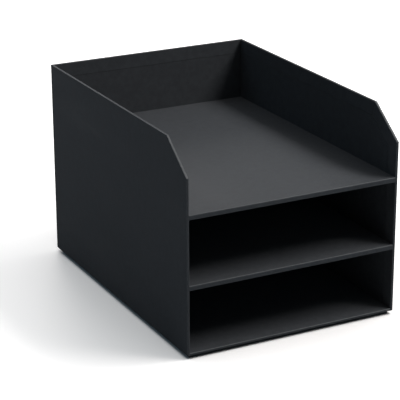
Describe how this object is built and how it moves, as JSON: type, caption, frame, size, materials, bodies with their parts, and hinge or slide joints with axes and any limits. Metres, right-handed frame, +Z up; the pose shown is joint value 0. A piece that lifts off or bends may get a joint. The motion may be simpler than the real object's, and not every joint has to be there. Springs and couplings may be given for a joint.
{
  "type": "letter tray",
  "caption": "Open-fronted desktop letter tray of paper-covered board: stacked bays under an open top tray with sloping front corners.",
  "frame": {"origin": "on the floor under the middle of the tray's outer box", "axes": "+Z up, +X to the right seen from the open front, +Y from the open front to the back wall"},
  "size_m": [0.235, 0.323, 0.2155],
  "materials": {
    "solid_board": "matte",
    "cover_paper": "matte",
    "lining_paper": "matte"
  },
  "bodies": {
    "root": {"back_board": "solid_board", "back_lining": "lining_paper", "base_board": "solid_board", "base_wrap": "lining_paper", "cover_paper": "cover_paper", "foot_board": "solid_board", "left_lining": "lining_paper", "left_side_board": "solid_board", "middle_shelf_lower_ply": "solid_board", "middle_shelf_underside_paper": "lining_paper", "middle_shelf_upper_ply": "solid_board", "middle_shelf_wrap": "lining_paper", "right_lining": "lining_paper", "right_side_board": "solid_board", "top_shelf_lower_ply": "solid_board", "top_shelf_underside_paper": "lining_paper", "top_shelf_upper_ply": "solid_board", "top_shelf_wrap": "lining_paper"}
  },
  "joints": []
}
